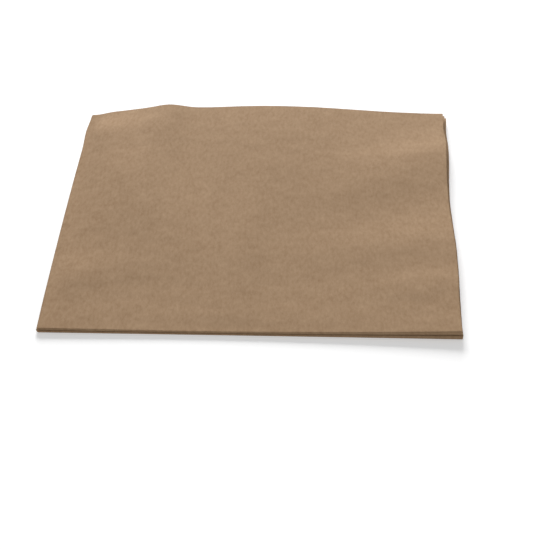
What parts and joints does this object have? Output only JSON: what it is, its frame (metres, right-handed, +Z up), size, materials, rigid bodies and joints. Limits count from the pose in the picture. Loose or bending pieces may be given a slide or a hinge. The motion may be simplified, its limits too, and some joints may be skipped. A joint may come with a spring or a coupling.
{
  "type": "paper napkin",
  "caption": "Square brown kraft tissue napkin, folded twice into a quarter-size square and lying flat, with soft waves and loosely spread cut edges.",
  "frame": {"origin": "middle of the folded napkin's footprint, on the surface it lies on", "axes": "+Z up, away from the surface it lies on; +X towards the side with cut edges, away from the fold that wraps all the layers; +Y away from the edge with two separate folds"},
  "size_m": [0.1668, 0.166, 0.0078],
  "materials": {
    "kraft_tissue": "matt unbleached brown tissue with a fine mottled grain"
  },
  "bodies": {
    "root": {"napkin": "kraft_tissue"}
  },
  "joints": []
}
